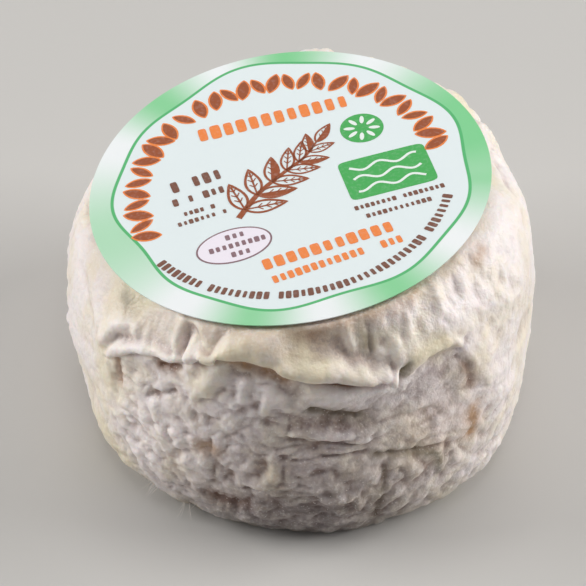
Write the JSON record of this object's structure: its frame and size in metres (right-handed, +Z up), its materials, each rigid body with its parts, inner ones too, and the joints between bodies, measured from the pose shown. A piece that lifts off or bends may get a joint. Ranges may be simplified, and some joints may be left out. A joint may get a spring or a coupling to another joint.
{
  "type": "crottin",
  "caption": "Small round drum-shaped goat's cheese with a wrinkled bloomy rind, its top sloping to one side and covered by a round paper label.",
  "frame": {"origin": "on the flat base, under the middle of the object's box", "axes": "+Z up through the label, -Y towards the front with the collar of folds, +X towards the higher side of the top"},
  "size_m": [0.0742, 0.0814, 0.0451],
  "materials": {
    "rind": "soft wrinkled bloomy rind, cream on the rolls and greyish in the hollows, slightly waxy",
    "label_paper": "smooth coated paper, pale mint with a printed green ring"
  },
  "bodies": {
    "root": {"cheese": "rind", "paper_label": "label_paper"}
  },
  "joints": []
}
